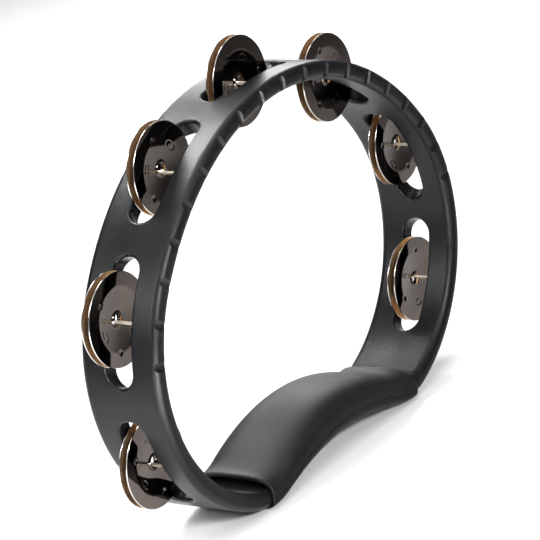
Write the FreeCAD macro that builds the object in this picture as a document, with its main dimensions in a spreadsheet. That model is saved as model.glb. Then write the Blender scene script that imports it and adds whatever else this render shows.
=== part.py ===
"""A hand-held plastic tambourine with one row of seven jingle pairs.

The D-shaped ring is moulded in two channel-shaped halves that close over seven steel pins. Each pin
carries two steel jingles, back to back, in a slot through the ring. A two-part cover makes the
thick grip that closes the D at the bottom.

Frame: +X to the right, +Y from the front rim to the back rim, +Z up along the ring's axis of
mirror symmetry. The origin is under the middle of the grip, on the surface that the two lower
corners stand on. Millimetres and degrees.
"""

import FreeCAD, Part

import math
import os

import Sketcher

V = FreeCAD.Vector
doc = FreeCAD.newDocument("tambourine")

# ---------------------------------------------------------------- driving dimensions

SIZES = [
    ("top_radius", 133.0, "middle line of the ring: the flat arc over the top"),
    ("side_radius", 78.0, "middle line: the arc down each side"),
    ("side_centre", 45.0, "X of the side arc's centre"),
    ("corner_radius", 33.0, "middle line: the lower corners"),
    ("corner_centre", 60.5, "X of the corner arc's centre"),
    ("bow_radius", 137.0, "middle line: the bottom bar, bowed in towards the ring"),
    ("band_thickness", 8.6, "ring, radially"),
    ("band_width", 42.0, "ring, front rim to back rim"),
    ("band_wall", 2.0, "plastic wall round each hollow cell of the ring"),
    ("rim_round", 3.8, "rounding of the rim's two edges"),
    ("lip_height", 0.9, "weld lip on the front half, where the halves meet"),
    ("lip_thickness", 0.6, "the same lip"),
    ("lip_fit", 0.05, "round the lip in the back half's groove"),
    ("jingle_pitch", 71.5, "jingle to jingle along the middle line"),
    ("slot_length", 56.8, "jingle slot, along the ring"),
    ("slot_width", 14.4, "jingle slot, across the ring"),
    ("slot_round", 1.3, "rounding of the slot's edges"),
    ("socket_depth", 4.8, "pin socket, beyond the slot's side"),
    ("socket_radius", 0.85, "pin socket"),
    ("pin_radius", 0.8, "steel pin"),
    ("pin_chamfer", 0.2, "pin's ends"),
    ("pin_end_gap", 0.15, "between the pin's end and the bottom of its socket"),
    ("groove_radius", 2.4, "round grooves across the front rim"),
    ("groove_depth", 1.7, "the same grooves"),
    ("jingle_radius", 21.2, "jingle, outside"),
    ("jingle_sheet", 0.5, "jingle, sheet thickness"),
    ("crease_radius", 14.6, "where the flat edge ring turns into the dish"),
    ("dish_radius", 6.0, "where the dish reaches its floor"),
    ("dish_depth", 1.5, "dish floor below the edge ring"),
    ("collar_radius", 3.7, "foot of the collar round the centre hole"),
    ("eye_radius", 3.0, "centre hole, oversized so that the jingle rattles"),
    ("collar_height", 0.8, "collar round the centre hole"),
    ("dimple_radius", 1.9, "three dimples on the crease"),
    ("dimple_depth", 0.2, "the same dimples"),
    ("pair_gap", 0.3, "between the two dish floors of a pair at rest"),
    ("pair_shift", 3.8, "a pair rests this far behind the ring's middle plane"),
    ("grip_width", 45.0, "grip cover, front to back"),
    ("grip_above", 9.8, "grip cover's end, above the middle line"),
    ("grip_below", 5.7, "grip cover's end, below the middle line"),
    ("grip_top_radius", 114.0, "grip's bowed upper surface"),
    ("grip_under_radius", 307.0, "grip's lower surface"),
    ("grip_end_angle", 6.0, "how far round the corner each end of the cover starts"),
    ("grip_top_round", 9.0, "rounding of the upper cover's long edges"),
    ("grip_under_round", 5.4, "rounding of the lower cover's long edges"),
    ("grip_wall", 2.2, "wall over the grip's hollow cells"),
    ("grip_fit", 0.05, "between the cover and the ring inside it"),
    ("grip_mouth", 8.0, "depth of the open gap over the ring at each end of the upper cover"),
    ("rib", 1.6, "ribs between the grip's cells"),
    ("cell_reach", 42.0, "X of the last grip cell's end"),
]

sheet = doc.addObject("Spreadsheet::Sheet", "Sizes")
for row, (alias, value, note) in enumerate(SIZES, start=1):
    sheet.set(f"A{row}", alias)
    sheet.set(f"B{row}", str(value))
    sheet.set(f"C{row}", note)
    sheet.setAlias(f"B{row}", alias)
doc.recompute()

JINGLES = 7
GROOVES = 19
GROOVES_PER_PITCH = 4
GRIP_CELLS = 4

# Where each pair rests on its pin: its centre's offset in X and Z, within the oversized hole.
REST_RATTLE = {
    1: (1.7, 0.6),
    2: (-0.3, 1.4),
    3: (0.5, 1.7),
    4: (-0.8, 1.1),
    5: (-0.5, -0.7),
    6: (1.2, 0.6),
    7: (0.8, -1.6),
}


def size(alias):
    return float(sheet.get(alias))


# ---------------------------------------------------------------- the ring's middle line

corner_drop = math.sqrt(
    (size("side_radius") - size("corner_radius")) ** 2
    - (size("corner_centre") - size("side_centre")) ** 2
)
side_rise = math.sqrt((size("top_radius") - size("side_radius")) ** 2 - size("side_centre") ** 2)
CORNER_Z = size("corner_radius") + size("grip_below")
SIDE_Z = CORNER_Z + corner_drop
TOP_Z = SIDE_Z - side_rise

# the same heights for the sketches' own constraints
CORNER_Z_RULE = "Sizes.corner_radius + Sizes.grip_below"
SIDE_Z_RULE = (
    CORNER_Z_RULE + " + sqrt((Sizes.side_radius - Sizes.corner_radius)^2"
    " - (Sizes.corner_centre - Sizes.side_centre)^2)"
)
TOP_Z_RULE = (
    SIDE_Z_RULE + " - sqrt((Sizes.top_radius - Sizes.side_radius)^2 - Sizes.side_centre^2)"
)

SIDE_ANGLE = math.asin(size("side_centre") / (size("top_radius") - size("side_radius")))
CORNER_ANGLE = math.pi - math.atan2(size("corner_centre") - size("side_centre"), corner_drop)
BOW_ANGLE = math.asin(size("corner_centre") / (size("bow_radius") + size("corner_radius")))
BOW_Z = CORNER_Z - (size("bow_radius") + size("corner_radius")) * math.cos(BOW_ANGLE)

# Each arc: centre X, centre Z, radius, first and last heading (0 at the top, growing clockwise as
# seen from the front), and +1 where the ring bends outwards or -1 along the bowed bar.
RIGHT_ARCS = [
    (0.0, TOP_Z, size("top_radius"), 0.0, SIDE_ANGLE, 1),
    (size("side_centre"), SIDE_Z, size("side_radius"), SIDE_ANGLE, CORNER_ANGLE, 1),
    (
        size("corner_centre"),
        CORNER_Z,
        size("corner_radius"),
        CORNER_ANGLE,
        math.pi + BOW_ANGLE,
        1,
    ),
    (0.0, BOW_Z, size("bow_radius"), math.pi + BOW_ANGLE, math.pi, -1),
]
RIGHT_LENGTH = sum(radius * abs(last - first) for _, _, radius, first, last, _ in RIGHT_ARCS)
CORNER_START = size("top_radius") * SIDE_ANGLE + size("side_radius") * (CORNER_ANGLE - SIDE_ANGLE)


def on_right(along):
    """The arc and heading at a distance along the right half, from the top."""
    left = along
    for arc in RIGHT_ARCS:
        _, _, radius, first, last, _ = arc
        span = radius * abs(last - first)
        if left <= span or arc is RIGHT_ARCS[-1]:
            return arc, first + math.copysign(left / radius, last - first)
        left -= span


def station(along, offset=0.0):
    """Point and outward direction on the ring; negative distances run down the left side."""
    (x, z, radius, _, _, bend), heading = on_right(abs(along))
    reach = bend * radius + offset
    side = math.copysign(1.0, along)
    out = V(side * math.sin(heading), 0, math.cos(heading))
    return V(side * x, 0, z) + out * reach, out


def signed_distance(along):
    """The same place as a distance down the right (+) or the left (-) side."""
    total = 2 * RIGHT_LENGTH
    wrapped = along % total
    return wrapped if wrapped <= RIGHT_LENGTH else wrapped - total


def arc_points(offset, begin, end):
    """First, middle and last point of one arc at an offset, clockwise."""
    return [
        station(signed_distance(along), offset)[0] for along in (begin, (begin + end) / 2, end)
    ]


def ring_points(offset, begin, end):
    """The arcs of the line at an offset from the middle line, clockwise from begin to end."""
    marks = [0.0]
    for _, _, radius, first, last, _ in RIGHT_ARCS:
        marks.append(marks[-1] + radius * abs(last - first))
    joints = marks + [2 * RIGHT_LENGTH - mark for mark in reversed(marks[:-1])]
    cuts = [begin] + [mark for mark in joints if begin < mark < end] + [end]
    return [arc_points(offset, low, high) for low, high in zip(cuts, cuts[1:])]


def flat(point):
    """A point of the XZ plane in a sketch on that plane."""
    return V(point.x, point.z, 0)


# ---------------------------------------------------------------- sketch and body helpers


def new_body(name):
    body = doc.addObject("PartDesign::Body", name)
    body.Label = name
    return body


def new_sketch(body, name, role):
    sketch = body.newObject("Sketcher::SketchObject", name)
    plane = [item for item in body.Origin.OriginFeatures if item.Role == role][0]
    sketch.AttachmentSupport = [(plane, "")]
    sketch.MapMode = "FlatFace"
    return sketch


def rule(sketch, constraint, name, expression):
    """Adds a constraint and ties it to the sheet."""
    index = sketch.addConstraint(constraint)
    sketch.renameConstraint(index, name)
    sketch.setExpression(f"Constraints.{name}", expression)


def feature(body, kind, name, sketch=None, **settings):
    item = body.newObject(f"PartDesign::{kind}", name)
    if sketch is not None:
        item.Profile = sketch
        sketch.Visibility = False
    for key, value in settings.items():
        setattr(item, key, value)
    return item


def edges_where(item, test):
    return [f"Edge{n}" for n, edge in enumerate(item.Shape.Edges, start=1) if test(edge)]


def edge_points(edge):
    first, last = edge.ParameterRange
    return [edge.valueAt(first + (last - first) * step / 4) for step in range(5)]


def round_edges(body, name, base, test, alias):
    picked = edges_where(base, test)
    item = feature(body, "Fillet", name, Base=(base, picked))
    item.Radius = size(alias)
    item.setExpression("Radius", f"Sizes.{alias}")
    return item


def ring_outline(sketch, prefix, offset, offset_rule):
    """The closed D at an offset from the middle line: six tangent arcs, fully constrained."""
    total = 2 * RIGHT_LENGTH
    top_end = size("top_radius") * SIDE_ANGLE
    side_end = CORNER_START
    bow_start = RIGHT_LENGTH - size("bow_radius") * BOW_ANGLE
    spans = [
        (total - top_end, total + top_end),
        (top_end, side_end),
        (side_end, bow_start),
        (bow_start, total - bow_start),
        (total - bow_start, total - side_end),
        (total - side_end, total - top_end),
    ]
    ids = []
    for low, high in spans:
        points = [flat(point) for point in arc_points(offset, low, high)]
        ids.append(sketch.addGeometry(Part.Arc(*points), False))
    top, right, right_corner, bow, left_corner, left = ids
    # in a sketch every arc runs anticlockwise, so its first point is the clockwise end
    joints = [
        (right, 2, top, 1),
        (right_corner, 2, right, 1),
        (bow, 1, right_corner, 1),
        (left_corner, 2, bow, 2),
        (left, 2, left_corner, 1),
        (top, 2, left, 1),
    ]
    for first, first_point, second, second_point in joints:
        sketch.addConstraint(
            Sketcher.Constraint("Tangent", first, first_point, second, second_point)
        )
    sketch.addConstraint(Sketcher.Constraint("Equal", right, left))
    sketch.addConstraint(Sketcher.Constraint("Equal", right_corner, left_corner))
    for arc, alias, sign in (
        (top, "top_radius", "+"),
        (right, "side_radius", "+"),
        (right_corner, "corner_radius", "+"),
        (bow, "bow_radius", "-"),
    ):
        radius = size(alias) + (offset if sign == "+" else -offset)
        rule(
            sketch,
            Sketcher.Constraint("Radius", arc, radius),
            f"{prefix}_{alias}",
            f"Sizes.{alias} {sign} ({offset_rule})",
        )
    sketch.addConstraint(Sketcher.Constraint("PointOnObject", top, 3, -2))
    rule(
        sketch,
        Sketcher.Constraint("DistanceY", -1, 1, top, 3, TOP_Z),
        f"{prefix}_top_z",
        TOP_Z_RULE,
    )
    for alias, right_arc, left_arc in (
        ("side_centre", right, left),
        ("corner_centre", right_corner, left_corner),
    ):
        for name, first, second in (
            ("right", (-1, 1), (right_arc, 3)),
            ("left", (left_arc, 3), (-1, 1)),
        ):
            rule(
                sketch,
                Sketcher.Constraint("DistanceX", *first, *second, size(alias)),
                f"{prefix}_{alias}_{name}",
                f"Sizes.{alias}",
            )


def closed_strip(sketch, low_offset, high_offset, begin, end):
    """The stretch of ring between two offsets, from one distance along it to another."""
    sides = []
    for offset in (low_offset, high_offset):
        points = ring_points(offset, begin, end)
        for first, middle, last in points:
            sketch.addGeometry(Part.Arc(flat(first), flat(middle), flat(last)), False)
        sides.append((points[0][0], points[-1][-1]))
    for low, high in zip(*sides):
        sketch.addGeometry(Part.LineSegment(flat(low), flat(high)), False)


# ---------------------------------------------------------------- the two ring halves


def jingle_stations():
    middle = JINGLES // 2
    return [(number + 1, (number - middle) * size("jingle_pitch")) for number in range(JINGLES)]


def slot_sketch(body, name, along):
    """A stadium across the ring's middle plane, looking out along the radius."""
    centre, out = station(along)
    tangent = V(out.z, 0, -out.x)
    sketch = body.newObject("Sketcher::SketchObject", name)
    turn = FreeCAD.Rotation(tangent, V(0, 0, 0), out, "ZXY")
    sketch.Placement = FreeCAD.Placement(centre, turn)
    half = (size("slot_length") - size("slot_width")) / 2
    radius = size("slot_width") / 2
    low = sketch.addGeometry(Part.LineSegment(V(-half, -radius, 0), V(half, -radius, 0)), False)
    right = sketch.addGeometry(
        Part.Arc(V(half, -radius, 0), V(half + radius, 0, 0), V(half, radius, 0)), False
    )
    high = sketch.addGeometry(Part.LineSegment(V(half, radius, 0), V(-half, radius, 0)), False)
    left = sketch.addGeometry(
        Part.Arc(V(-half, radius, 0), V(-half - radius, 0, 0), V(-half, -radius, 0)), False
    )
    for first, first_point, second, second_point in (
        (low, 2, right, 1),
        (right, 2, high, 1),
        (high, 2, left, 1),
        (left, 2, low, 1),
    ):
        sketch.addConstraint(
            Sketcher.Constraint("Tangent", first, first_point, second, second_point)
        )
    sketch.addConstraint(Sketcher.Constraint("Horizontal", low))
    sketch.addConstraint(Sketcher.Constraint("Symmetric", left, 3, right, 3, -1, 1))
    rule(
        sketch,
        Sketcher.Constraint("Radius", right, radius),
        "slot_radius",
        "Sizes.slot_width / 2",
    )
    rule(
        sketch,
        Sketcher.Constraint("DistanceX", left, 3, right, 3, 2 * half),
        "slot_straight",
        "Sizes.slot_length - Sizes.slot_width",
    )
    return sketch


def cell_spans():
    """Where the ring is hollow: between the slots, and round the whole bottom."""
    clear = size("slot_length") / 2 + size("band_wall")
    total = 2 * RIGHT_LENGTH
    places = [along for _, along in jingle_stations()]
    spans = []
    for first, second in zip(places, places[1:]):
        begin, end = first + clear, second - clear
        if begin < 0:
            begin, end = begin + total, end + total
        spans.append((begin, end))
    spans.append((places[-1] + clear, total + places[0] - clear))
    return spans


def ring_half(name, front):
    """One moulded half, from the middle plane to its rim. front is True for the -Y half."""
    body = new_body(name)
    half = size("band_width") / 2
    thick = size("band_thickness") / 2
    outline = new_sketch(body, f"{name}_outline", "XZ_Plane")
    ring_outline(outline, "outer", thick, "Sizes.band_thickness / 2")
    ring_outline(outline, "inner", -thick, "-Sizes.band_thickness / 2")
    pad = feature(body, "Pad", f"{name}_pad", outline, Reversed=not front)
    pad.setExpression("Length", "Sizes.band_width / 2")
    doc.recompute()
    rim_y = -half if front else half
    last = round_edges(
        body,
        f"{name}_rim_round",
        pad,
        lambda edge: all(abs(point.y - rim_y) < 1e-3 for point in edge_points(edge)),
        "rim_round",
    )
    doc.recompute()

    cells = new_sketch(body, f"{name}_cells", "XZ_Plane")
    inside = thick - size("band_wall")
    for begin, end in cell_spans():
        closed_strip(cells, -inside, inside, begin, end)
    pocket = feature(body, "Pocket", f"{name}_hollow", cells, Reversed=front)
    pocket.setExpression("Length", "Sizes.band_width / 2 - Sizes.band_wall")
    doc.recompute()
    check_smaller(last, pocket)
    last = weld_lip(body, name, front)
    for number, along in jingle_stations():
        slot = slot_sketch(body, f"{name}_slot_{number}", along)
        pocket = feature(body, "Pocket", f"{name}_slot_cut_{number}", slot, Midplane=True)
        pocket.setExpression("Length", "4 * Sizes.band_thickness")
    doc.recompute()
    check_smaller(last, pocket)

    sockets = new_sketch(body, f"{name}_sockets", "XZ_Plane")
    for number, along in jingle_stations():
        centre = flat(station(along)[0])
        circle = sketch_circle(sockets, centre, size("socket_radius"))
        rule(
            sockets,
            Sketcher.Constraint("Radius", circle, size("socket_radius")),
            f"socket_{number}",
            "Sizes.socket_radius",
        )
    pocket = feature(body, "Pocket", f"{name}_socket_cut", sockets, Reversed=front)
    pocket.setExpression("Length", "Sizes.slot_width / 2 + Sizes.socket_depth")
    doc.recompute()
    check_smaller(last, pocket)
    round_slots(body, name, pocket)
    return body


def weld_lip(body, name, front):
    """A lip along the middle of both walls: raised on the front half, a groove in the back half."""
    middle = (size("band_thickness") - size("band_wall")) / 2
    middle_rule = "(Sizes.band_thickness - Sizes.band_wall) / 2"
    half = size("lip_thickness") / 2 + (0 if front else size("lip_fit"))
    half_rule = "Sizes.lip_thickness / 2" + ("" if front else " + Sizes.lip_fit")
    before = body.Tip
    sketch = new_sketch(body, f"{name}_lip", "XZ_Plane")
    for wall, sign in (("outer", 1), ("inner", -1)):
        for face, step in (("far", 1), ("near", -1)):
            rule_text = f"{sign} * ({middle_rule} + {step} * ({half_rule}))"
            ring_outline(sketch, f"{wall}_{face}", sign * (middle + step * half), rule_text)
    if front:
        lip = feature(body, "Pad", f"{name}_lip_pad", sketch, Reversed=True)
        lip.setExpression("Length", "Sizes.lip_height")
        doc.recompute()
        check_smaller(lip, before)
        return lip
    groove = feature(body, "Pocket", f"{name}_lip_groove", sketch)
    groove.setExpression("Length", "Sizes.lip_height + Sizes.lip_fit")
    doc.recompute()
    check_smaller(before, groove)
    return groove


def sketch_circle(sketch, centre, radius):
    return sketch.addGeometry(Part.Circle(centre, V(0, 0, 1), radius), False)


def check_smaller(whole, cut):
    if cut.Shape.Volume >= whole.Shape.Volume - 0.1:
        raise RuntimeError(f"{cut.Name} is no smaller than {whole.Name}")


def round_slots(body, name, base):
    """Softens the slots' edges on the ring's outer and inner faces."""
    reach = size("slot_width") / 2 + 0.01

    def on_slot(edge):
        points = edge_points(edge)
        if max(abs(point.y) for point in points) > reach:
            return False
        if max(abs(point.y) for point in points) < 0.5:
            return False
        return edge.Length > 5.0 and all(abs(skin_offset(point)) < 0.02 for point in points)

    round_edges(body, f"{name}_slot_round", base, on_slot, "slot_round")
    doc.recompute()


def skin_offset(point):
    """How far a point of the jingle stretch lies from the nearer of the ring's two faces."""
    top = math.hypot(point.x, point.z - TOP_Z)
    heading = math.atan2(abs(point.x), point.z - TOP_Z)
    if heading < SIDE_ANGLE:
        offset = top - size("top_radius")
    else:
        across = abs(point.x) - size("side_centre")
        offset = math.hypot(across, point.z - SIDE_Z) - size("side_radius")
    return abs(offset) - size("band_thickness") / 2


def rim_grooves():
    """Round bars lying across the front rim, one for each groove."""
    bars = []
    step = size("jingle_pitch") / GROOVES_PER_PITCH
    y = -size("band_width") / 2 - (size("groove_radius") - size("groove_depth"))
    for number in range(GROOVES):
        along = (number - GROOVES // 2) * step
        foot, out = station(along, -size("band_thickness"))
        bar = doc.addObject("Part::Cylinder", f"groove_bar_{number + 1}")
        bar.setExpression("Radius", "Sizes.groove_radius")
        bar.setExpression("Height", "2 * Sizes.band_thickness")
        bar.Placement = FreeCAD.Placement(V(foot.x, y, foot.z), FreeCAD.Rotation(V(0, 0, 1), out))
        bars.append(bar)
    row = doc.addObject("Part::Compound", "groove_bars")
    row.Links = bars
    return row


front_half = ring_half("front_half", True)
frame_front_shell = doc.addObject("Part::Cut", "frame_front_shell")
frame_front_shell.Base = front_half
frame_front_shell.Tool = rim_grooves()
frame_back_shell = ring_half("frame_back_shell", False)

# ---------------------------------------------------------------- the two grip covers


def grip_outline(sketch):
    """Side view of the whole grip: bowed top, flatter underside, square ends on the corners."""
    corner_x = size("corner_centre")
    inner = size("corner_radius") - size("grip_above")
    outer = size("corner_radius") + size("grip_below")
    end = math.radians(size("grip_end_angle"))
    top_turn = math.asin(corner_x / (size("grip_top_radius") + inner))
    top_z = CORNER_Z - (size("grip_top_radius") + inner) * math.cos(top_turn)
    under_turn = math.asin(corner_x / (size("grip_under_radius") + outer))
    under_z = CORNER_Z - (size("grip_under_radius") + outer) * math.cos(under_turn)

    def arc(x, z, radius, begin, finish):
        """begin and finish are headings from straight up, growing clockwise."""
        points = [
            V(x + radius * math.sin(a), z + radius * math.cos(a), 0)
            for a in (begin, (begin + finish) / 2, finish)
        ]
        return sketch.addGeometry(Part.Arc(*points), False)

    half_turn = math.pi
    ids = {
        "top": arc(0, top_z, size("grip_top_radius"), top_turn, -top_turn),
        "under": arc(0, under_z, size("grip_under_radius"), under_turn, -under_turn),
    }
    for side, sign in (("right", 1), ("left", -1)):
        x = sign * corner_x
        low, high = half_turn - end, half_turn + top_turn
        ids[f"{side}_in"] = arc(x, CORNER_Z, inner, sign * low, sign * high)
        high = half_turn + under_turn
        ids[f"{side}_out"] = arc(x, CORNER_Z, outer, sign * low, sign * high)
        face = V(x + sign * inner * math.sin(low), CORNER_Z + inner * math.cos(low), 0)
        heel = V(x + sign * outer * math.sin(low), CORNER_Z + outer * math.cos(low), 0)
        ids[f"{side}_end"] = sketch.addGeometry(Part.LineSegment(face, heel), False)
    for name, radius, expression in (
        ("top", size("grip_top_radius"), "Sizes.grip_top_radius"),
        ("under", size("grip_under_radius"), "Sizes.grip_under_radius"),
        ("right_in", inner, "Sizes.corner_radius - Sizes.grip_above"),
        ("left_in", inner, "Sizes.corner_radius - Sizes.grip_above"),
        ("right_out", outer, "Sizes.corner_radius + Sizes.grip_below"),
        ("left_out", outer, "Sizes.corner_radius + Sizes.grip_below"),
    ):
        rule(sketch, Sketcher.Constraint("Radius", ids[name], radius), f"{name}_radius", expression)
    return top_z, under_z


def grip_cells(sketch, centre_z, radius, low_edge):
    """Hollow cells between ribs, under one skin of the grip; low_edge is their flat far side."""
    reach = size("cell_reach")
    pitch = (2 * reach + size("rib")) / GRIP_CELLS
    for number in range(GRIP_CELLS):
        left = -reach + number * pitch
        right = left + pitch - size("rib")
        corners = [(x, centre_z + math.sqrt(radius**2 - x**2)) for x in (left, right)]
        middle_x = (left + right) / 2
        middle = V(middle_x, centre_z + math.sqrt(radius**2 - middle_x**2), 0)
        start, stop = [V(x, z, 0) for x, z in corners]
        feet = [V(x, low_edge(x), 0) for x in (left, right)]
        sketch.addGeometry(Part.Arc(start, middle, stop), False)
        sketch.addGeometry(Part.LineSegment(stop, feet[1]), False)
        sketch.addGeometry(Part.LineSegment(feet[1], feet[0]), False)
        sketch.addGeometry(Part.LineSegment(feet[0], start), False)


def middle_z(x):
    """Height of the bottom bar's middle line."""
    bow_end = size("bow_radius") * math.sin(BOW_ANGLE)
    if abs(x) < bow_end:
        return BOW_Z + math.sqrt(size("bow_radius") ** 2 - x**2)
    across = abs(x) - size("corner_centre")
    return CORNER_Z - math.sqrt(size("corner_radius") ** 2 - across**2)


def grip_mouths(body, name, begin):
    """The open gaps between the upper cover's skin and the ring, one at each end."""
    start_turn = math.pi - math.radians(size("grip_end_angle")) - CORNER_ANGLE
    stop = CORNER_START + size("corner_radius") * start_turn + size("grip_mouth")
    skin = size("grip_above") - size("grip_wall")
    over_bar = size("band_thickness") / 2
    sketch = new_sketch(body, f"{name}_mouths", "XZ_Plane")
    closed_strip(sketch, -skin, -over_bar, begin, stop)
    closed_strip(sketch, -skin, -over_bar, 2 * RIGHT_LENGTH - stop, 2 * RIGHT_LENGTH - begin)
    before = body.Tip
    mouths = feature(body, "Pocket", f"{name}_mouth_cut", sketch, Midplane=True)
    mouths.setExpression("Length", "Sizes.grip_width - 4 * Sizes.grip_wall")
    doc.recompute()
    check_smaller(before, mouths)


def grip_cover(name, upper):
    """Half of the grip, split along the bar's middle line and hollowed round the bar."""
    body = new_body(name)
    outline = new_sketch(body, f"{name}_outline", "XZ_Plane")
    top_z, under_z = grip_outline(outline)
    pad = feature(body, "Pad", f"{name}_pad", outline, Midplane=True)
    pad.setExpression("Length", "Sizes.grip_width")
    doc.recompute()
    side_y = size("grip_width") / 2

    def long_edge(edge):
        """An edge along this cover's own side of the grip, front or back."""
        points = edge_points(edge)
        if any(abs(abs(point.y) - side_y) > 1e-3 for point in points):
            return False
        along_end = abs(points[0].x - points[-1].x) < 2.0
        return not along_end and (points[2].z > middle_z(points[2].x)) == upper

    alias = "grip_top_round" if upper else "grip_under_round"
    rounded = round_edges(body, f"{name}_round", pad, long_edge, alias)
    doc.recompute()

    # the other cover's half goes, then the channel for the bar
    begin = CORNER_START - 5.0
    end = 2 * RIGHT_LENGTH - begin
    away = size("corner_radius") * 0.9
    low, high = (0.0, away) if upper else (-away, 0.0)
    split = new_sketch(body, f"{name}_split", "XZ_Plane")
    closed_strip(split, low, high, begin, end)
    pocket = feature(body, "Pocket", f"{name}_half", split, Midplane=True)
    pocket.setExpression("Length", "2 * Sizes.grip_width")
    doc.recompute()
    check_smaller(rounded, pocket)

    channel = new_sketch(body, f"{name}_channel", "XZ_Plane")
    half = size("band_thickness") / 2 + size("grip_fit")
    closed_strip(channel, -half, half, begin, end)
    bar = feature(body, "Pocket", f"{name}_bar_channel", channel, Midplane=True)
    bar.setExpression("Length", "Sizes.band_width + 2 * Sizes.grip_fit")
    doc.recompute()
    check_smaller(pocket, bar)

    cells = new_sketch(body, f"{name}_cells", "XZ_Plane")
    if upper:
        grip_cells(cells, top_z, size("grip_top_radius") - size("grip_wall"), middle_z)
    else:
        grip_cells(cells, under_z, size("grip_under_radius") + size("grip_wall"), middle_z)
    hollow = feature(body, "Pocket", f"{name}_hollow", cells, Midplane=True)
    hollow.setExpression("Length", "Sizes.grip_width - 4 * Sizes.grip_wall")
    doc.recompute()
    check_smaller(bar, hollow)
    if upper:
        grip_mouths(body, name, begin)
    return body


grip_upper_cover = grip_cover("grip_upper_cover", True)
grip_lower_cover = grip_cover("grip_lower_cover", False)

# ---------------------------------------------------------------- pins and jingles


def turned_profile(body, name, corners):
    """A closed profile in the XY plane, X as radius and Y along the axis.

    Each corner is (radius, its rule, length, its rule).
    """
    sketch = new_sketch(body, f"{name}_profile", "XY_Plane")
    points = [V(radius, length, 0) for radius, _, length, _ in corners]
    lines = []
    for first, second in zip(points, points[1:] + points[:1]):
        lines.append(sketch.addGeometry(Part.LineSegment(first, second), False))
    for first, second in zip(lines, lines[1:] + lines[:1]):
        sketch.addConstraint(Sketcher.Constraint("Coincident", first, 2, second, 1))
    for line, (radius, radius_rule, length, length_rule) in zip(lines, corners):
        for kind, value, expression in (
            ("DistanceX", radius, radius_rule),
            ("DistanceY", length, length_rule),
        ):
            constraint = Sketcher.Constraint(kind, -1, 1, line, 1, value)
            rule(sketch, constraint, f"{kind}_{line}", expression)
    return sketch


def turn(body, name, sketch):
    item = feature(body, "Revolution", f"{name}_turned", sketch)
    item.ReferenceAxis = (sketch, ["V_Axis"])
    item.Angle = 360
    return item


def pin(number, along):
    """A plain steel pin between its two sockets."""
    name = f"jingle_pin_{number}"
    body = new_body(name)
    radius = size("pin_radius")
    chamfer = size("pin_chamfer")
    half = size("slot_width") / 2 + size("socket_depth") - size("pin_end_gap")
    neck_rule = "Sizes.pin_radius - Sizes.pin_chamfer"
    half_rule = "Sizes.slot_width / 2 + Sizes.socket_depth - Sizes.pin_end_gap"
    shoulder_rule = f"{half_rule} - Sizes.pin_chamfer"
    corners = [
        (0, "0", -half, f"-({half_rule})"),
        (radius - chamfer, neck_rule, -half, f"-({half_rule})"),
        (radius, "Sizes.pin_radius", chamfer - half, f"-({shoulder_rule})"),
        (radius, "Sizes.pin_radius", half - chamfer, shoulder_rule),
        (radius - chamfer, neck_rule, half, half_rule),
        (0, "0", half, half_rule),
    ]
    turn(body, name, turned_profile(body, name, corners))
    body.Placement = FreeCAD.Placement(station(along)[0], FreeCAD.Rotation())
    return body


def jingle(number, along, front):
    """A dished sheet-steel disc. Its convex floor faces its partner, +Y on a front jingle."""
    name = f"jingle_{number}_{'front' if front else 'back'}"
    body = new_body(name)
    depth = size("dish_depth")
    # the outer face from the edge to the eye; the inner face runs back one sheet behind it
    face = [
        ("jingle_radius", 0.0, "0"),
        ("crease_radius", 0.0, "0"),
        ("dish_radius", depth, "Sizes.dish_depth"),
        ("collar_radius", depth, "Sizes.dish_depth"),
        ("eye_radius", depth - size("collar_height"), "Sizes.dish_depth - Sizes.collar_height"),
    ]
    corners = [(size(alias), f"Sizes.{alias}", level, text) for alias, level, text in face]
    for alias, level, text in reversed(face):
        behind = level + size("jingle_sheet")
        corners.append((size(alias), f"Sizes.{alias}", behind, f"{text} + Sizes.jingle_sheet"))
    turned = turn(body, name, turned_profile(body, name, corners))
    doc.recompute()

    spot = new_sketch(body, f"{name}_dimple", "XZ_Plane")
    mark = sketch_circle(spot, V(0, size("crease_radius"), 0), size("dimple_radius"))
    rule(
        spot,
        Sketcher.Constraint("Radius", mark, size("dimple_radius")),
        "dimple",
        "Sizes.dimple_radius",
    )
    dimple = feature(body, "Pocket", f"{name}_dimple_cut", spot)
    dimple.setExpression("Length", "Sizes.dimple_depth")
    doc.recompute()
    check_smaller(turned, dimple)
    three = feature(body, "PolarPattern", f"{name}_dimples")
    three.Originals = [dimple]
    three.Axis = (spot, ["N_Axis"])
    three.Angle = 360
    three.Occurrences = 3
    body.Tip = three
    doc.recompute()

    # the outer face's place in the pair: the two floors stand pair_gap apart
    lift = depth + size("jingle_sheet") + size("pair_gap") / 2
    x, z = REST_RATTLE[number]
    place = station(along)[0] + V(x, size("pair_shift") + (-lift if front else lift), z)
    facing = FreeCAD.Rotation(V(0, 0, 1), 0 if front else 180)
    body.Placement = FreeCAD.Placement(place, facing)
    return body


nodes = [frame_front_shell, frame_back_shell, grip_upper_cover, grip_lower_cover]
for number, along in jingle_stations():
    nodes.append(pin(number, along))
    nodes.append(jingle(number, along, True))
    nodes.append(jingle(number, along, False))

# ---------------------------------------------------------------- checks and files

doc.recompute()
for item in doc.Objects:
    if "Invalid" in item.State or "Error" in item.State:
        raise RuntimeError(f"{item.Name} failed: {item.State}")

os.makedirs("parts", exist_ok=True)
for node in nodes:
    shape = node.Shape
    if shape.isNull() or not shape.isValid() or len(shape.Solids) != 1:
        raise RuntimeError(f"{node.Label} has a bad shape")
    shape.exportStep(f"parts/{node.Label}.step")
    box = shape.BoundBox
    print(node.Label, round(shape.Volume, 1), "mm3, centre", box.Center, box.YMin, box.YMax)
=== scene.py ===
"""Looks of the hand-held tambourine: materials, jingles, grip, studio and camera. Metres."""

import math

import bmesh
import bpy
from mathutils import Matrix, Vector


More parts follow.
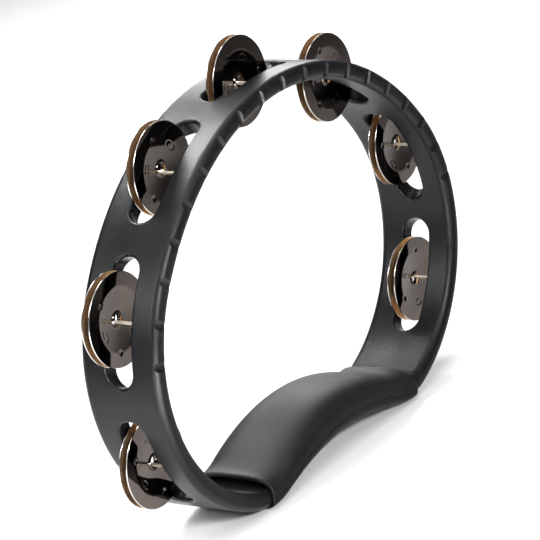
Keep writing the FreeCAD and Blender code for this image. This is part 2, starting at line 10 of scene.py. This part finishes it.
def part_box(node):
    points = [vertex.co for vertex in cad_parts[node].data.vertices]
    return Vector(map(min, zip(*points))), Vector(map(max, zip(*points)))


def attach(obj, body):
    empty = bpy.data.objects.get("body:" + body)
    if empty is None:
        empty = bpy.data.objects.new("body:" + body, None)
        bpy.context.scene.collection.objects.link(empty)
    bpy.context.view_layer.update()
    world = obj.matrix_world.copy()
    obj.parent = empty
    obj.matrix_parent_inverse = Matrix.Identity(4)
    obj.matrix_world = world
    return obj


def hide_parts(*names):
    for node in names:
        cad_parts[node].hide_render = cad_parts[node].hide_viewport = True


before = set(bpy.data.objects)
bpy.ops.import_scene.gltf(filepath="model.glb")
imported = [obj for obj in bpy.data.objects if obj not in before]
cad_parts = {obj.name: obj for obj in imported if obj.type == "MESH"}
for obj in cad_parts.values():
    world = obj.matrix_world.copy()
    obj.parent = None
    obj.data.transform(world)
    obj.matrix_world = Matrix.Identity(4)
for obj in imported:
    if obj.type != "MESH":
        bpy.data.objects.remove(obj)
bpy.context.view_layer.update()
scene = bpy.context.scene

# ---------------------------------------------------------------- camera

CAMERA_AZIMUTH = math.radians(-52.87)
CAMERA_ELEVATION = math.radians(18.97)
CAMERA_ROLL = math.radians(-10.38)
CAMERA_DISTANCE = 1.2715
CAMERA_LENS = 186.8
SENSOR = 36.0
CAMERA_AIM = Vector((-0.02463, -0.0135, 0.10147))


def make_camera():
    back = Vector(
        (
            math.sin(CAMERA_AZIMUTH) * math.cos(CAMERA_ELEVATION),
            -math.cos(CAMERA_AZIMUTH) * math.cos(CAMERA_ELEVATION),
            math.sin(CAMERA_ELEVATION),
        )
    )
    right = Vector((math.cos(CAMERA_AZIMUTH), math.sin(CAMERA_AZIMUTH), 0.0))
    up = back.cross(right)
    turned_right = right * math.cos(CAMERA_ROLL) + up * math.sin(CAMERA_ROLL)
    turned_up = up * math.cos(CAMERA_ROLL) - right * math.sin(CAMERA_ROLL)
    data = bpy.data.cameras.new("camera")
    data.lens = CAMERA_LENS
    data.sensor_width = SENSOR
    data.clip_end = 50.0
    camera = bpy.data.objects.new("camera", data)
    scene.collection.objects.link(camera)
    axes = Matrix((turned_right, turned_up, back)).transposed().to_4x4()
    camera.matrix_world = Matrix.Translation(CAMERA_AIM + back * CAMERA_DISTANCE) @ axes
    scene.camera = camera


# ---------------------------------------------------------------- material helpers

RING_MIDDLE_Z = 0.1
SLOT_WALL_Y = (0.0075, 0.0082)  # distance from the middle plane where the slot walls end
SLOT_WALL_TILT = (0.4, 0.75)  # how far a normal may point out of or into the ring
RIM_FACE_TILT = (0.82, 0.96)  # how far a normal has to point to the front or the back
CLOUD_RANGE = (0.3, 0.7)


class Nodes:
    """Short calls for building one material's node tree."""

    def __init__(self, name):
        self.material = bpy.data.materials.new(name)
        self.material.use_nodes = True
        self.tree = self.material.node_tree
        self.shader = self.tree.nodes["Principled BSDF"]
        self.place = self.add("ShaderNodeTexCoord").outputs["Object"]

    def add(self, kind, **values):
        node = self.tree.nodes.new(kind)
        for key, value in values.items():
            setattr(node, key, value)
        return node

    def link(self, output, target):
        self.tree.links.new(output, target)

    def noise(self, scale, detail, stretch=(1, 1, 1)):
        mapping = self.add("ShaderNodeMapping")
        mapping.inputs["Scale"].default_value = stretch
        self.link(self.place, mapping.inputs["Vector"])
        texture = self.add("ShaderNodeTexNoise")
        texture.inputs["Scale"].default_value = scale
        texture.inputs["Detail"].default_value = detail
        self.link(mapping.outputs["Vector"], texture.inputs["Vector"])
        return texture.outputs["Fac"]

    def ramp(self, factor, stops):
        node = self.add("ShaderNodeValToRGB")
        elements = node.color_ramp.elements
        while len(elements) < len(stops):
            elements.new(0.5)
        for element, (position, colour) in zip(elements, stops):
            element.position = position
            element.color = (*colour, 1.0) if isinstance(colour, tuple) else (colour,) * 3 + (1.0,)
        self.link(factor, node.inputs["Fac"])
        return node.outputs["Color"]

    def spread(self, factor, low, high, begin=0.0, end=1.0):
        node = self.add("ShaderNodeMapRange")
        node.inputs["From Min"].default_value = begin
        node.inputs["From Max"].default_value = end
        node.inputs["To Min"].default_value = low
        node.inputs["To Max"].default_value = high
        self.link(factor, node.inputs["Value"])
        return node.outputs["Result"]

    def math(self, operation, first, second):
        node = self.add("ShaderNodeMath", operation=operation)
        for socket, value in zip(node.inputs, (first, second)):
            if isinstance(value, (int, float)):
                socket.default_value = value
            else:
                self.link(value, socket)
        return node.outputs["Value"]

    def mix(self, factor, first, second):
        node = self.add("ShaderNodeMix", data_type="RGBA")
        self.link(factor, node.inputs["Factor"])
        for name, value in (("A", first), ("B", second)):
            socket = [s for s in node.inputs if s.name == name and s.type == "RGBA"][0]
            if isinstance(value, tuple):
                socket.default_value = (*value, 1.0)
            else:
                self.link(value, socket)
        return [s for s in node.outputs if s.type == "RGBA"][0]

    def bump(self, height, strength, distance):
        node = self.add("ShaderNodeBump")
        node.inputs["Strength"].default_value = strength
        node.inputs["Distance"].default_value = distance
        self.link(height, node.inputs["Height"])
        self.link(node.outputs["Normal"], self.shader.inputs["Normal"])

    def worn_edges(self, begin, end):
        """1 on convex edges and 0 on flat faces."""
        geometry = self.add("ShaderNodeNewGeometry")
        return self.spread(geometry.outputs["Pointiness"], 0.0, 1.0, begin, end)

    def size_along_y(self, vector):
        parts = self.add("ShaderNodeSeparateXYZ")
        self.link(vector, parts.inputs["Vector"])
        return self.math("ABSOLUTE", parts.outputs["Y"], 0.0)

    def slot_walls(self):
        """1 on the walls of the jingle slots: near the middle plane and facing neither out nor in."""
        offset = self.add("ShaderNodeVectorMath", operation="MULTIPLY_ADD")
        self.link(self.place, offset.inputs[0])
        offset.inputs[1].default_value = (1.0, 0.0, 1.0)
        offset.inputs[2].default_value = (0.0, 0.0, -RING_MIDDLE_Z)
        outward = self.add("ShaderNodeVectorMath", operation="NORMALIZE")
        self.link(offset.outputs["Vector"], outward.inputs[0])
        facing = self.add("ShaderNodeVectorMath", operation="DOT_PRODUCT")
        self.link(outward.outputs["Vector"], facing.inputs[0])
        self.link(self.add("ShaderNodeNewGeometry").outputs["Normal"], facing.inputs[1])
        off_middle = self.size_along_y(self.place)
        off_side = self.math("ABSOLUTE", facing.outputs["Value"], 0.0)
        middle = self.spread(off_middle, 1.0, 0.0, *SLOT_WALL_Y)
        sideways = self.spread(off_side, 1.0, 0.0, *SLOT_WALL_TILT)
        return self.math("MULTIPLY", middle, sideways)

    def rim_faces(self):
        """1 on the faces that look straight to the front or the back."""
        normal = self.add("ShaderNodeNewGeometry").outputs["Normal"]
        return self.spread(self.size_along_y(normal), 0.0, 1.0, *RIM_FACE_TILT)

    def set(self, **values):
        for key, value in values.items():
            self.shader.inputs[key.replace("_", " ")].default_value = value

    def feed(self, name, output):
        self.link(output, self.shader.inputs[name])


def paint(obj, material):
    obj.data.materials.clear()
    obj.data.materials.append(material)


# ---------------------------------------------------------------- materials


PLASTIC_SPECULAR = 0.22
RIM_FACE_DULLING = 0.75
EDGE_POLISH = 0.15
SLOT_POLISH = 0.2


def moulded_plastic(name, dark, light, grain, grain_height, roughness, polished_shaded_slots=False):
    """Black satin plastic: moulded grain, faint flow marks, worn edges, dull rim faces and, on slot
    walls, polish and painted shade.
    """
    nodes = Nodes(name)
    grain_noise = nodes.noise(grain, 3.0)
    coarse = nodes.noise(38.0, 2.0)
    flow = nodes.noise(24.0, 4.0, (1.0, 5.0, 1.0))
    edges = nodes.worn_edges(0.52, 0.62)
    cloud = nodes.math("ADD", nodes.math("MULTIPLY", coarse, 0.6), nodes.math("MULTIPLY", flow, 0.4))
    colour = nodes.ramp(cloud, [(0.3, dark), (0.7, light)])
    speck = nodes.spread(grain_noise, 0.0, 1.0, 0.60, 0.72)
    worn = tuple(channel * 2.0 for channel in light)
    colour = nodes.mix(nodes.math("MULTIPLY", speck, 0.35), colour, worn)
    colour = nodes.mix(nodes.math("MULTIPLY", edges, 0.25), colour, worn)
    satin = nodes.spread(cloud, *roughness, *CLOUD_RANGE)
    polish = nodes.math("MULTIPLY", edges, EDGE_POLISH)
    if polished_shaded_slots:
        walls = nodes.slot_walls()
        polish = nodes.math("ADD", polish, nodes.math("MULTIPLY", walls, SLOT_POLISH))
        # painted shade: the slot walls' colour is pulled to the dark tone, standing in for shade inside
        # the slot tunnels
        colour = nodes.mix(walls, colour, dark)
    nodes.feed("Base Color", colour)
    nodes.feed("Roughness", nodes.math("SUBTRACT", satin, polish))
    dulled = nodes.math("MULTIPLY", nodes.rim_faces(), RIM_FACE_DULLING * PLASTIC_SPECULAR)
    nodes.feed("Specular IOR Level", nodes.math("SUBTRACT", PLASTIC_SPECULAR, dulled))
    nodes.bump(grain_noise, 0.6, grain_height)
    return nodes.material


def plated_steel(name, dark, light, roughness, metallic=1.0):
    """Polished plated sheet: faint spinning marks, cloudy tint and fine scratches."""
    nodes = Nodes(name)
    cloud = nodes.noise(60.0, 3.0)
    scratches = nodes.noise(900.0, 2.0, (1.0, 1.0, 0.06))
    nodes.feed("Base Color", nodes.ramp(cloud, [(0.3, dark), (0.7, light)]))
    marks = nodes.spread(scratches, 0.0, 1.0, 0.62, 0.75)
    smooth = nodes.spread(cloud, *roughness, *CLOUD_RANGE)
    nodes.feed("Roughness", nodes.math("ADD", smooth, nodes.math("MULTIPLY", marks, 0.05)))
    nodes.set(Metallic=metallic)
    nodes.bump(scratches, 0.05, 0.00001)
    return nodes.material


frame_plastic = moulded_plastic(
    "frame_plastic", (0.004, 0.0042, 0.0047), (0.007, 0.0072, 0.008), 1400.0, 0.00022, (0.30, 0.40), True
)
grip_plastic = moulded_plastic(
    "grip_plastic", (0.006, 0.0062, 0.0067), (0.009, 0.0093, 0.010), 2600.0, 0.00004, (0.48, 0.56)
)
black_nickel = plated_steel("black_nickel", (0.085, 0.071, 0.064), (0.105, 0.088, 0.079), (0.03, 0.06))
# warm_tint_painted_bounce: the plating's own warm tint, strengthened to gold as painted reflection of
# light bounced between the paired discs
warm_tint_painted_bounce = plated_steel("warm_tint_painted_bounce", (0.66, 0.50, 0.33), (0.77, 0.60, 0.41), (0.15, 0.23), 0.92)
bright_edge = plated_steel("bright_edge", (0.60, 0.57, 0.53), (0.68, 0.65, 0.61), (0.12, 0.18))
# pin_wire: bright wire metal, with a warm gold tint that is painted reflection of the gold discs beside
# it
pin_wire = plated_steel("pin_wire", (0.96, 0.86, 0.70), (0.98, 0.91, 0.79), (0.30, 0.38), 0.65)

for name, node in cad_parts.items():
    if name.startswith("jingle_pin"):
        paint(node, pin_wire)
    elif name.startswith("grip"):
        paint(node, grip_plastic)
    else:
        paint(node, frame_plastic)

# ---------------------------------------------------------------- shared shaping


def smooth_step(low, high, value):
    part = min(1.0, max(0.0, (value - low) / (high - low)))
    return part * part * (3.0 - 2.0 * part)


def place_piece(name, mesh, body, node):
    piece = bpy.data.objects.new(name, mesh)
    scene.collection.objects.link(piece)
    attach(piece, body)
    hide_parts(node)
    return piece


# ---------------------------------------------------------------- grip covers

CORNER_X = 0.0605
CORNER_Z = 0.0387
BAND_ARCS = (0.137, 0.033)
CROWN_ARCS = (0.114, 0.0232)
BELLY_ARCS = (0.307, 0.0387)
GRIP_END = 0.06395
GRIP_LEAN = 0.105
LIP = 0.0010
MOUTH_DEPTH = 0.008
MOUTH_WALL = 0.0022
MOUTH_STEP = 0.0006
PARTING_GROOVE = 0.00025
HALF_WIDTH_END = 0.0225
HALF_WIDTH_MIDDLE = 0.0223
INNER_HALF_WIDTH = 0.0213
INNER_HEIGHT = 0.0046
INNER_SQUARENESS = 8.0
MOUTH_SQUARENESS = 3.0
CROWN_SQUARENESS = (3.2, 3.0)
BELLY_SQUARENESS = (2.1, 4.0)
SECTION_STEPS = 16
GRIP_STATIONS = 128


def bowed(x, arcs):
    """Height of an upward bow that runs on into the ring's lower corner."""
    bow, corner = arcs
    x = abs(x)
    if x < CORNER_X * bow / (bow + corner):
        centre = CORNER_Z - math.sqrt((bow + corner) ** 2 - CORNER_X**2)
        return centre + math.sqrt(bow**2 - x**2)
    return CORNER_Z - math.sqrt(corner**2 - (x - CORNER_X) ** 2)


def half_section(half_width, height, squareness, groove):
    """Points (y, z) from one side of the parting line over the crown to the other side."""
    side = [
        (half_width - groove, 0.00005),
        (half_width - 0.3 * groove, 0.00025),
        (half_width, 0.00045),
    ]
    for step in range(1, SECTION_STEPS + 1):
        turn = math.pi / 2.0 * step / SECTION_STEPS
        across = max(0.0, math.cos(turn)) ** (2.0 / squareness)
        side.append((half_width * across, height * math.sin(turn) ** (2.0 / squareness)))
    return side + [(-y, z) for y, z in reversed(side[:-1])]


def grip_stations():
    """(x, inset of the outer skin) along the grip; the skin rolls in at both end lips."""
    run = GRIP_END - LIP
    stations = [(run * (2.0 * step / GRIP_STATIONS - 1.0), 0.0) for step in range(GRIP_STATIONS + 1)]
    for degrees in (30.0, 60.0, 90.0):
        turn = math.radians(degrees)
        x, inset = run + LIP * math.sin(turn), LIP * (1.0 - math.cos(turn))
        stations.append((x, inset))
        stations.insert(0, (-x, inset))
    return stations


def grip_ring(x, inset, facing):
    """One closed section of a cover; facing is 1 for the upper cover and -1 for the lower."""
    outward = (abs(x) / GRIP_END) ** 2
    middle = bowed(x, BAND_ARCS)
    arcs, squareness = (CROWN_ARCS, CROWN_SQUARENESS) if facing > 0 else (BELLY_ARCS, BELLY_SQUARENESS)
    height = (bowed(x, arcs) - middle) * facing
    half_width = HALF_WIDTH_MIDDLE + (HALF_WIDTH_END - HALF_WIDTH_MIDDLE) * outward
    square = squareness[0] + (squareness[1] - squareness[0]) * outward
    inner_height, inner_square = INNER_HEIGHT, INNER_SQUARENESS
    if facing > 0:
        mouth = smooth_step(GRIP_END - MOUTH_DEPTH - MOUTH_STEP, GRIP_END - MOUTH_DEPTH, abs(x))
        inner_height += mouth * (height - MOUTH_WALL - INNER_HEIGHT)
        inner_square += mouth * (MOUTH_SQUARENESS - INNER_SQUARENESS)
    outer = half_section(half_width, height, square, PARTING_GROOVE)
    inner = half_section(INNER_HALF_WIDTH, inner_height, inner_square, 0.0)
    skin = []
    for (outer_y, outer_z), (inner_y, inner_z) in zip(outer, inner):
        length = math.hypot(inner_y - outer_y, inner_z - outer_z)
        share = inset / max(length, LIP)
        skin.append((outer_y + (inner_y - outer_y) * share, outer_z + (inner_z - outer_z) * share))
    lean = math.copysign(GRIP_LEAN * outward, x)
    ring = []
    for y, z in skin + inner[::-1]:
        rise = z * facing
        ring.append((x - lean * rise, y, middle + rise))
    return ring


def make_grip(name, node, facing):
    build = bmesh.new()
    rings = []
    for x, inset in grip_stations():
        rings.append([build.verts.new(point) for point in grip_ring(x, inset, facing)])
    around = len(rings[0])
    for here, there in zip(rings, rings[1:]):
        for index in range(around):
            after = (index + 1) % around
            build.faces.new((here[index], here[after], there[after], there[index]))
    for end in (rings[0], rings[-1]):
        for index in range(around // 2 - 1):
            last = around - 1 - index
            build.faces.new((end[index], end[index + 1], end[last - 1], end[last]))
    bmesh.ops.recalc_face_normals(build, faces=build.faces[:])
    for face in build.faces:
        face.smooth = True
    mesh = bpy.data.meshes.new(name)
    build.to_mesh(mesh)
    build.free()
    mesh.materials.append(grip_plastic)
    place_piece(name, mesh, "frame", node)


make_grip("grip_upper", "grip_upper_cover", 1)
make_grip("grip_lower", "grip_lower_cover", -1)

# ---------------------------------------------------------------- jingles

JINGLE_RADIUS = 0.0212
SHEET = 0.0005
CREASE = 0.0146
EYE = 0.0030
COLLAR = 0.0037
COLLAR_HEIGHT = 0.0008
DISH = 0.0015
CREASE_RISE = 0.0003
DISH_POWER = 1.45
DENT = 0.0014
DENT_DEPTH = 0.0006
DENT_RING = CREASE * 1.005
RING_MARK = 0.54 * JINGLE_RADIUS
RING_MARK_HALF_OUT = 0.0015
RING_MARK_HALF_ACROSS = 0.0027
RING_MARK_HEIGHT = 0.00016
CREASE_BEND = 0.0006
# the rest of the inner face carries the painted bounce reflection between the paired discs
EYE_ROWS = 6  # rows of the inner face round the eye that have the open face's plating
BACK_TURN = 40.0  # degrees between a pair's dents, seen through the pair
AROUND = 180
OPEN_FACE, INNER_FACE, EDGE = range(3)

# The angle of each jingle's first dent, seen from the front, degrees anticlockwise from +X.
DENT_ANGLES = {1: 155, 2: 136, 3: 105, 4: 123, 5: 103, 6: 168, 7: 80}


def dish_height(radius):
    """Depth of the pressed sheet towards the partner, before dents: 0 at the rim."""
    if radius >= CREASE:
        return -CREASE_RISE * (JINGLE_RADIUS - radius) / (JINGLE_RADIUS - CREASE)
    share = radius / CREASE
    return (DISH + CREASE_RISE) * (1.0 - share**DISH_POWER) - CREASE_RISE


def soft_dish(radius):
    """dish_height with the crease bent over a small radius."""
    steps = (-1.0, -0.5, 0.0, 0.5, 1.0)
    return sum(dish_height(radius + step * CREASE_BEND) for step in steps) / len(steps)


def press_marks(x, z, first_angle):
    """Three round dents on the crease and three plain oval rings between them."""
    height = 0.0
    for turn in range(3):
        angle = first_angle + turn * math.tau / 3.0
        out_x, out_z = math.cos(angle), math.sin(angle)
        gap = math.hypot(x - DENT_RING * out_x, z - DENT_RING * out_z)
        if gap < DENT * 1.6:
            height += DENT_DEPTH * (1.0 - smooth_step(0.15 * DENT, 1.25 * DENT, gap))
        angle += math.pi / 3.0
        out_x, out_z = math.cos(angle), math.sin(angle)
        along = (x * out_x + z * out_z - RING_MARK) / RING_MARK_HALF_OUT
        across = (z * out_x - x * out_z) / RING_MARK_HALF_ACROSS
        ring = math.hypot(along, across)
        if 0.6 < ring < 1.4:
            height += RING_MARK_HEIGHT * math.exp(-(((ring - 1.0) / 0.15) ** 2))
    return height


def jingle_radii():
    """Stations from the eye outwards, closer together at the collar, the marks and the crease."""
    radii = [EYE, EYE + 0.00012, EYE + 0.00028, EYE + 0.00048, COLLAR, COLLAR + 0.0002]
    radii += [COLLAR + 0.0005 + 0.0003 * step for step in range(29)]
    radii += [0.0129 + 0.00022 * step for step in range(20)]
    radii += [0.0176, 0.0184, 0.0192, 0.0199, 0.0204, 0.0207, 0.0209]
    return sorted(radii)


def jingle_mesh(name, first_angle):
    """A pressed disc in local axes: Y runs from the open face towards the partner."""
    mesh_radii = jingle_radii()
    half = SHEET / 2.0
    edge_steps = (-60.0, -20.0, 20.0, 60.0)
    build = bmesh.new()
    loops = []

    def ring(radius, height_at):
        row = []
        for index in range(AROUND):
            angle = math.tau * index / AROUND
            x, z = radius * math.cos(angle), radius * math.sin(angle)
            row.append(build.verts.new((x, height_at(x, z), z)))
        loops.append(row)

    def sheet_height(radius, side):
        base = soft_dish(radius)
        lift = COLLAR_HEIGHT * (1.0 - smooth_step(EYE + 0.0001, COLLAR + 0.0003, radius))

        def height(x, z):
            return base - lift + press_marks(x, z, first_angle) + side * SHEET

        return height

    for radius in mesh_radii:
        ring(radius, sheet_height(radius, 0.0))
    edge_base = soft_dish(JINGLE_RADIUS) + half
    for step in edge_steps:
        turn = math.radians(step)
        radius = JINGLE_RADIUS - half + half * math.cos(turn)
        level = edge_base + half * math.sin(turn)
        ring(radius, lambda x, z, level=level: level)
    for radius in reversed(mesh_radii):
        ring(radius, sheet_height(radius, 1.0))
    eye_base = soft_dish(EYE) - COLLAR_HEIGHT + half
    for step in edge_steps[::-1]:
        turn = math.radians(step)
        radius = EYE + half * 0.6 * (1.0 - math.cos(turn))
        level = eye_base + half * math.sin(turn)
        ring(radius, lambda x, z, level=level: level)

    count = len(loops)
    faces_front = len(mesh_radii) - 1
    eye_start = count - len(edge_steps) - EYE_ROWS
    for row in range(count):
        here, there = loops[row], loops[(row + 1) % count]
        for index in range(AROUND):
            after = (index + 1) % AROUND
            face = build.faces.new((here[index], here[after], there[after], there[index]))
            face.smooth = True
            if row < faces_front or row >= eye_start:
                face.material_index = OPEN_FACE
            elif row < faces_front + len(edge_steps) + 1:
                face.material_index = EDGE
            else:
                face.material_index = INNER_FACE
    bmesh.ops.recalc_face_normals(build, faces=build.faces[:])
    mesh = bpy.data.meshes.new(name)
    build.to_mesh(mesh)
    build.free()
    # the inner faces carry the painted bounce reflection between the paired discs
    for material in (black_nickel, warm_tint_painted_bounce, bright_edge):  # open face, inner face, edge
        mesh.materials.append(material)
    return mesh


def make_jingle(number, side):
    node = f"jingle_{number}_{side}"
    low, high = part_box(node)
    centre = (low + high) / 2.0
    first_angle = math.radians(DENT_ANGLES[number])
    if side == "back":
        first_angle = math.radians(180.0 - DENT_ANGLES[number] - BACK_TURN)
    mesh = jingle_mesh(f"{side}_disc_{number}", first_angle)
    facing = 1.0 if side == "front" else -1.0
    mesh.transform(Matrix.Diagonal((facing, facing, 1.0, 1.0)))
    open_face = low.y if side == "front" else high.y
    mesh.transform(Matrix.Translation((centre.x, open_face, centre.z)))
    place_piece(f"{side}_disc_{number}", mesh, f"{side}_jingle_{number}", node)


for jingle_number in range(1, 8):
    make_jingle(jingle_number, "front")
    make_jingle(jingle_number, "back")

# ---------------------------------------------------------------- studio

FLOOR_HALF = 6.0


def make_floor():
    mesh = bpy.data.meshes.new("floor")
    corners = [(-1, -1), (1, -1), (1, 1), (-1, 1)]
    mesh.from_pydata([(x * FLOOR_HALF, y * FLOOR_HALF, 0.0) for x, y in corners], [], [(0, 1, 2, 3)])
    floor = bpy.data.objects.new("floor", mesh)
    scene.collection.objects.link(floor)
    nodes = Nodes("floor_paper")
    tone = nodes.ramp(nodes.noise(3.0, 2.0), [(0.3, 0.90), (0.7, 0.93)])
    nodes.feed("Base Color", tone)
    nodes.set(Roughness=0.8, Specular_IOR_Level=0.1)
    paint(floor, nodes.material)


def area_light(name, place, aim, width, height, watts, spread):
    data = bpy.data.lights.new(name, "AREA")
    data.shape = "RECTANGLE"
    data.size = width
    data.size_y = height
    data.energy = watts
    data.spread = math.radians(spread)
    light = bpy.data.objects.new(name, data)
    scene.collection.objects.link(light)
    light.location = place
    light.rotation_euler = (Vector(aim) - Vector(place)).to_track_quat("-Z", "Y").to_euler()


def make_world():
    world = bpy.data.worlds.new("studio")
    world.use_nodes = True
    background = world.node_tree.nodes["Background"]
    background.inputs["Color"].default_value = (1.0, 1.0, 1.0, 1.0)
    background.inputs["Strength"].default_value = 0.12
    scene.world = world
    scene.view_settings.view_transform = "Standard"


make_floor()
# name, place, aim, width, height, watts, spread in degrees
area_light("top_box", (-0.05, 0.0, 1.1), (-0.02, 0.02, 0.0), 0.7, 0.7, 1.5, 90.0)
area_light("back_box", (0.18, 0.72, 1.15), (-0.26, 0.0, 0.26), 0.35, 0.35, 1.7, 40.0)
area_light("front_high", (-0.60, -0.60, 1.2), (-0.06, 0.0, 0.1), 0.5, 0.5, 0.5, 60.0)
area_light("front_low", (-0.63, -1.20, 0.80), (-0.12, 0.0, 0.12), 0.3, 0.3, 1.9, 50.0)
area_light("left_box", (-1.0, 0.5, 0.8), (0.0, 0.0, 0.1), 0.5, 0.5, 1.2, 60.0)
area_light("background", (1.0, 0.5, 1.5), (0.55, 0.40, 0.0), 0.3, 0.3, 2.2, 50.0)
area_light("front_pool", (-0.36, -0.34, 0.70), (-0.35, -0.33, 0.0), 0.12, 0.12, 14.0, 32.0)
area_light("far_wall", (1.5, 1.15, 0.75), (0.0, 0.0, 0.05), 0.8, 0.5, 1.7, 60.0)
make_world()
make_camera()
